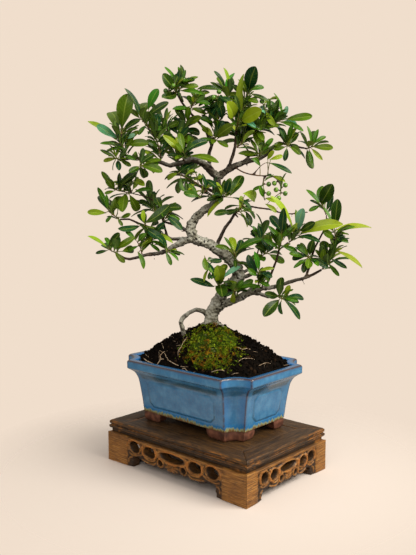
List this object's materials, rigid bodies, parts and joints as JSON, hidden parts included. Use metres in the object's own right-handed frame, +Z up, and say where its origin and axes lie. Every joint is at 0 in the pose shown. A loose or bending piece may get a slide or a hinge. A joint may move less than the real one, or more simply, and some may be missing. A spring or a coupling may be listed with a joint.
{
  "type": "bonsai tree",
  "caption": "Firethorn bonsai with S-curved trunk and glossy leaves in a blue glazed rectangular pot on a low carved wooden display stand.",
  "frame": {"origin": "centre of the object's bounding box in plan, on the surface that the stand's feet rest on", "axes": "+Z up along the tree's height, X along the long side of the pot and the stand, front faces -Y"},
  "size_m": [0.2582, 0.2168, 0.4373],
  "materials": {
    "stand_wood": "satin",
    "stand_top": "satin",
    "glaze": "gloss",
    "drain_mesh": "matte",
    "soil": "matte",
    "moss": "matte",
    "bark": "matte",
    "leaf": "satin"
  },
  "bodies": {
    "root": {"apron_front": "stand_wood", "apron_right": "stand_wood", "apron_back": "stand_wood", "apron_left": "stand_wood", "top_rail_front": "stand_top", "top_rail_right": "stand_top", "top_rail_back": "stand_top", "top_rail_left": "stand_top", "top_panel": "stand_top", "drain_mesh_left": "drain_mesh", "drain_mesh_right": "drain_mesh", "pot": "glaze", "soil": "soil", "moss": "moss", "tree_wood": "bark", "spray_low_centre": "leaf", "spray_low_front": "leaf", "spray_bend": "leaf", "spray_middle": "leaf", "spray_middle_limb": "leaf", "spray_thin_left": "leaf", "spray_left_tip": "leaf", "spray_left_inner": "leaf", "spray_left_riser": "leaf", "spray_left_shoulder": "leaf", "spray_lower_left_tip": "leaf", "spray_lower_left_mid": "leaf", "spray_lower_left_inner": "leaf", "spray_upper_left": "leaf", "spray_arm_left_tip": "leaf", "spray_arm_left_under": "leaf", "spray_upper_left_inner": "leaf", "spray_crown_left_front": "leaf", "spray_crown_left": "leaf", "spray_top_left": "leaf", "spray_top_left_inner": "leaf", "spray_top_middle": "leaf", "spray_top_right": "leaf", "spray_crown_right": "leaf", "spray_crown_middle": "leaf", "spray_crown_heart": "leaf", "spray_right_top": "leaf", "spray_right_arm_front": "leaf", "spray_right_arm_end": "leaf", "spray_right_arm_tip": "leaf", "spray_hanging": "leaf", "spray_right_stem": "leaf", "spray_right_heart": "leaf", "spray_right_middle": "leaf", "spray_right_upper": "leaf", "spray_right_outer": "leaf", "spray_low_right": "leaf", "spray_low_right_upper": "leaf", "spray_low_right_under": "leaf", "spray_back_middle": "leaf", "spray_back_right": "leaf", "spray_back_left": "leaf", "spray_back_low_right": "leaf", "spray_back_low_left": "leaf"}
  },
  "joints": []
}
